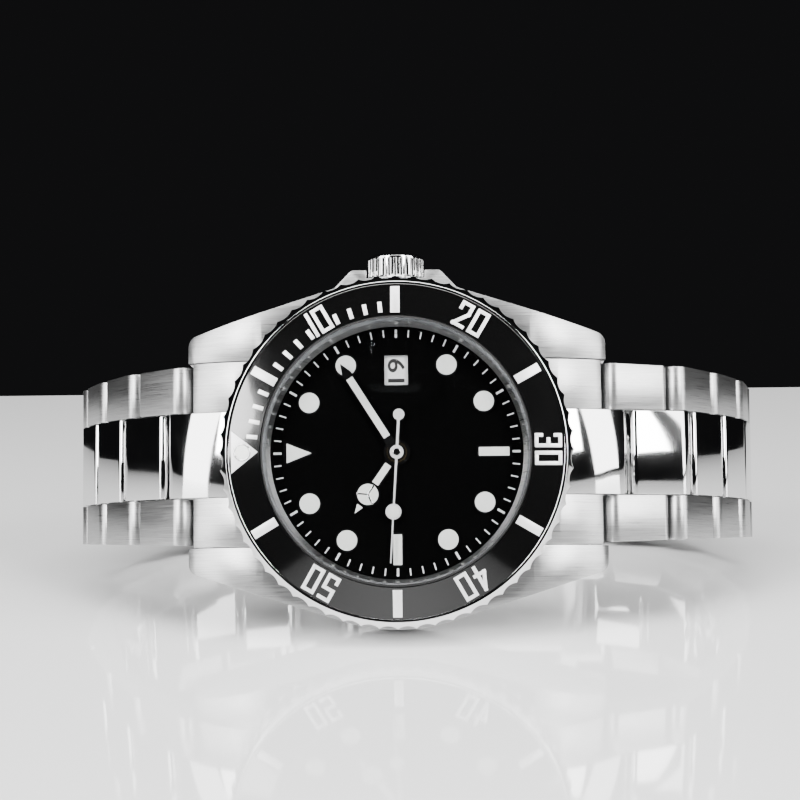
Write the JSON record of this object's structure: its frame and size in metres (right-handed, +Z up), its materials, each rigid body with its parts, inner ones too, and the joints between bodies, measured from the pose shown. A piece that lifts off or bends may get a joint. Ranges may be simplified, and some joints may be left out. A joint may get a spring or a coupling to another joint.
{
  "type": "dive watch",
  "caption": "Steel dive watch with a turning bezel, black dial with luminous markers, date window and magnifier, on a closed link bracelet with folding clasp.",
  "frame": {"origin": "centre of the box that holds the watch, on the ground it stands on", "axes": "+X from twelve o'clock towards six o'clock, +Y behind the dial, +Z up, towards the crown"},
  "size_m": [0.0866, 0.0628, 0.0447],
  "materials": {
    "brushed_steel": "brushed",
    "polished_steel": "polished",
    "ceramic": "gloss ceramic",
    "sapphire": "clear",
    "dial_lacquer": "gloss",
    "date_enamel": "satin",
    "gasket": "satin",
    "brass": "gilt"
  },
  "bodies": {
    "case": {"case_middle": "brushed_steel", "case_back": "polished_steel", "case_back_gasket": "gasket", "crown_tube": "polished_steel", "rehaut_ring": "polished_steel", "crystal": "sapphire", "crystal_gasket": "gasket", "date_magnifier": "sapphire", "bezel_click_spring": "polished_steel", "dial": "dial_lacquer", "hour_markers": "polished_steel", "main_plate": "brass", "train_bridge": "brass", "balance_cock": "brass", "bridge_screws": "polished_steel", "rotor_post": "polished_steel", "end_link_12": "brushed_steel", "end_link_6": "brushed_steel", "lug_spring_bars": "polished_steel"},
    "bezel": {"bezel_ring": "polished_steel", "bezel_insert": "ceramic"},
    "date": {"date_disc": "date_enamel"},
    "hours": {"hour_hand": "polished_steel", "hour_wheel": "brass"},
    "minutes": {"minute_hand": "polished_steel", "centre_wheel": "brass"},
    "seconds": {"seconds_hand": "polished_steel", "fourth_wheel": "brass"},
    "third_wheel": {"third_wheel": "brass"},
    "escape_wheel": {"escape_wheel": "polished_steel"},
    "barrel": {"mainspring_barrel": "polished_steel"},
    "pallet_fork": {"pallet_fork": "polished_steel"},
    "balance": {"balance_wheel": "polished_steel"},
    "rotor": {"rotor": "polished_steel"},
    "crown_slide": {"crown_gasket": "gasket"},
    "crown": {"crown": "polished_steel", "winding_stem": "polished_steel"},
    "clasp_shell": {"clasp_shell": "brushed_steel", "clasp_shell_pins": "polished_steel"},
    "middle_blade": {"clasp_middle_blade": "polished_steel"},
    "inner_blade": {"clasp_inner_blade": "polished_steel"},
    "safety_lock": {"safety_lock": "brushed_steel"},
    "link_12_1": {"link_12_1": "brushed_steel"},
    "link_12_2": {"link_12_2": "brushed_steel"},
    "link_12_3": {"link_12_3": "brushed_steel"},
    "link_12_4": {"link_12_4": "brushed_steel"},
    "link_12_5": {"link_12_5": "brushed_steel"},
    "link_12_6": {"link_12_6": "brushed_steel"},
    "link_12_7": {"link_12_7": "brushed_steel"},
    "link_12_8": {"link_12_8": "brushed_steel"},
    "link_6_1": {"link_6_1": "brushed_steel"},
    "link_6_2": {"link_6_2": "brushed_steel"},
    "link_6_3": {"link_6_3": "brushed_steel"},
    "link_6_4": {"link_6_4": "brushed_steel"},
    "link_6_5": {"link_6_5": "brushed_steel"},
    "link_6_6": {"link_6_6": "brushed_steel"},
    "link_6_7": {"link_6_7": "brushed_steel"},
    "link_6_8": {"link_6_8": "brushed_steel"}
  },
  "joints": [
    {"name": "seconds_turn", "type": "hinge", "parent": "case", "child": "seconds", "pos_m": [-0.00238, -0.02482, 0.02198], "axis": [0, -0.9718, 0.2358], "continuous": true},
    {"name": "minutes_turn", "type": "hinge", "parent": "case", "child": "minutes", "pos_m": [-0.00238, -0.02449, 0.0219], "axis": [0, -0.9718, 0.2358], "continuous": true},
    {"name": "hours_turn", "type": "hinge", "parent": "case", "child": "hours", "pos_m": [-0.00238, -0.0241, 0.0218], "axis": [0, -0.9718, 0.2358], "continuous": true},
    {"name": "third_wheel_turn", "type": "hinge", "parent": "case", "child": "third_wheel", "pos_m": [-0.0055, -0.0201, 0.02403], "axis": [0, -0.9718, 0.2358], "continuous": true},
    {"name": "escape_wheel_turn", "type": "hinge", "parent": "case", "child": "escape_wheel", "pos_m": [0.00137, -0.02083, 0.02101], "axis": [0, -0.9718, 0.2358], "continuous": true},
    {"name": "barrel_turn", "type": "hinge", "parent": "case", "child": "barrel", "pos_m": [-0.00698, -0.02262, 0.01363], "axis": [0, -0.9718, 0.2358], "continuous": true},
    {"name": "bezel_turn", "type": "hinge", "parent": "case", "child": "bezel", "pos_m": [-0.00238, -0.02676, 0.02245], "axis": [0, -0.9718, 0.2358], "continuous": true},
    {"name": "date_turn", "type": "hinge", "parent": "case", "child": "date", "pos_m": [-0.00238, -0.02331, 0.02161], "axis": [0, -0.9718, 0.2358], "continuous": true},
    {"name": "rotor_swing", "type": "hinge", "parent": "case", "child": "rotor", "pos_m": [-0.00238, -0.01865, 0.02048], "axis": [0, -0.9718, 0.2358], "continuous": true},
    {"name": "balance_swing", "type": "hinge", "parent": "case", "child": "balance", "pos_m": [0.00662, -0.01938, 0.02529], "axis": [0, -0.9718, 0.2358], "range_deg": [-135, 135], "stiffness_Nm_per_rad": 0.0000004},
    {"name": "pallet_swing", "type": "hinge", "parent": "case", "child": "pallet_fork", "pos_m": [0.00452, -0.02045, 0.02385], "axis": [0, -0.9718, 0.2358], "range_deg": [-5, 5]},
    {"name": "crown_pull", "type": "slide", "parent": "case", "child": "crown_slide", "axis": [0, 0.2358, 0.9718], "range_m": [0, 0.001]},
    {"name": "crown_turn", "type": "hinge", "parent": "crown_slide", "child": "crown", "pos_m": [-0.00238, -0.01515, 0.04402], "axis": [0, 0.2358, 0.9718], "continuous": true},
    {"name": "link_12_1_hinge", "type": "hinge", "parent": "case", "child": "link_12_1", "pos_m": [-0.02828, -0.01889, 0.02054], "axis": [0, 0.2358, 0.9718], "range_deg": [0, 41]},
    {"name": "link_12_2_hinge", "type": "hinge", "parent": "link_12_1", "child": "link_12_2", "pos_m": [-0.03432, -0.01379, 0.0193], "axis": [0, 0.2358, 0.9718], "range_deg": [0, 16]},
    {"name": "link_12_3_hinge", "type": "hinge", "parent": "link_12_2", "child": "link_12_3", "pos_m": [-0.03868, -0.00727, 0.01772], "axis": [0, 0.2358, 0.9718], "range_deg": [0, 10]},
    {"name": "link_12_4_hinge", "type": "hinge", "parent": "link_12_3", "child": "link_12_4", "pos_m": [-0.0418, -0.00011, 0.01599], "axis": [0, 0.2358, 0.9718], "range_deg": [0, 23]},
    {"name": "link_12_5_hinge", "type": "hinge", "parent": "link_12_4", "child": "link_12_5", "pos_m": [-0.0418, 0.00766, 0.0141], "axis": [0, 0.2358, 0.9718], "range_deg": [0, 18]},
    {"name": "link_12_6_hinge", "type": "hinge", "parent": "link_12_5", "child": "link_12_6", "pos_m": [-0.03933, 0.01506, 0.01231], "axis": [0, 0.2358, 0.9718], "range_deg": [0, 20]},
    {"name": "link_12_7_hinge", "type": "hinge", "parent": "link_12_6", "child": "link_12_7", "pos_m": [-0.03441, 0.02118, 0.01082], "axis": [0, 0.2358, 0.9718], "range_deg": [0, 22]},
    {"name": "link_12_8_hinge", "type": "hinge", "parent": "link_12_7", "child": "link_12_8", "pos_m": [-0.02748, 0.02507, 0.00988], "axis": [0, 0.2358, 0.9718], "range_deg": [0, 22]},
    {"name": "link_6_1_hinge", "type": "hinge", "parent": "case", "child": "link_6_1", "pos_m": [0.02352, -0.01889, 0.02054], "axis": [0, -0.2358, -0.9718], "range_deg": [0, 17.03]},
    {"name": "link_6_2_hinge", "type": "hinge", "parent": "link_6_1", "child": "link_6_2", "pos_m": [0.03117, -0.01661, 0.01999], "axis": [0, -0.2358, -0.9718], "range_deg": [0, 37.09]},
    {"name": "link_6_3_hinge", "type": "hinge", "parent": "link_6_2", "child": "link_6_3", "pos_m": [0.03586, -0.01031, 0.01846], "axis": [0, -0.2358, -0.9718], "range_deg": [0, 8.24]},
    {"name": "link_6_4_hinge", "type": "hinge", "parent": "link_6_3", "child": "link_6_4", "pos_m": [0.03957, -0.00343, 0.01679], "axis": [0, -0.2358, -0.9718], "range_deg": [0, 14.42]},
    {"name": "link_6_5_hinge", "type": "hinge", "parent": "link_6_4", "child": "link_6_5", "pos_m": [0.0414, 0.00414, 0.01495], "axis": [0, -0.2358, -0.9718], "range_deg": [0, 10.3]},
    {"name": "link_6_6_hinge", "type": "hinge", "parent": "link_6_5", "child": "link_6_6", "pos_m": [0.0418, 0.01191, 0.01307], "axis": [0, -0.2358, -0.9718], "range_deg": [0, 24.72]},
    {"name": "link_6_7_hinge", "type": "hinge", "parent": "link_6_6", "child": "link_6_7", "pos_m": [0.03883, 0.01912, 0.01132], "axis": [0, -0.2358, -0.9718], "range_deg": [0, 28.84]},
    {"name": "link_6_8_hinge", "type": "hinge", "parent": "link_6_7", "child": "link_6_8", "pos_m": [0.03265, 0.02405, 0.01012], "axis": [0, -0.2358, -0.9718], "range_deg": [0, 23.69]},
    {"name": "clasp_open", "type": "hinge", "parent": "link_12_8", "child": "clasp_shell", "pos_m": [-0.01956, 0.02615, 0.00961], "axis": [0, 0.2358, 0.9718], "range_deg": [0, 30]},
    {"name": "blades_unfold", "type": "hinge", "parent": "clasp_shell", "child": "middle_blade", "pos_m": [0.02004, 0.02688, 0.00944], "axis": [0, 0.2358, 0.9718], "range_deg": [0, 48]},
    {"name": "inner_blade_hinge", "type": "hinge", "parent": "middle_blade", "child": "inner_blade", "pos_m": [-0.01056, 0.02615, 0.00961], "axis": [0, 0.2358, 0.9718], "range_deg": [-48.02, 0]},
    {"name": "safety_lock_flip", "type": "hinge", "parent": "clasp_shell", "child": "safety_lock", "pos_m": [0.01224, 0.02931, 0.00885], "axis": [0, 0.2358, 0.9718], "range_deg": [0, 100]}
  ],
  "couplings": [
    {"joint": "minutes_turn", "follows": "seconds_turn", "ratio": 0.016667},
    {"joint": "hours_turn", "follows": "seconds_turn", "ratio": 0.0013889},
    {"joint": "third_wheel_turn", "follows": "seconds_turn", "ratio": -0.125},
    {"joint": "escape_wheel_turn", "follows": "seconds_turn", "ratio": -10},
    {"joint": "barrel_turn", "follows": "seconds_turn", "ratio": -0.002381},
    {"joint": "inner_blade_hinge", "follows": "blades_unfold", "ratio": -1}
  ]
}
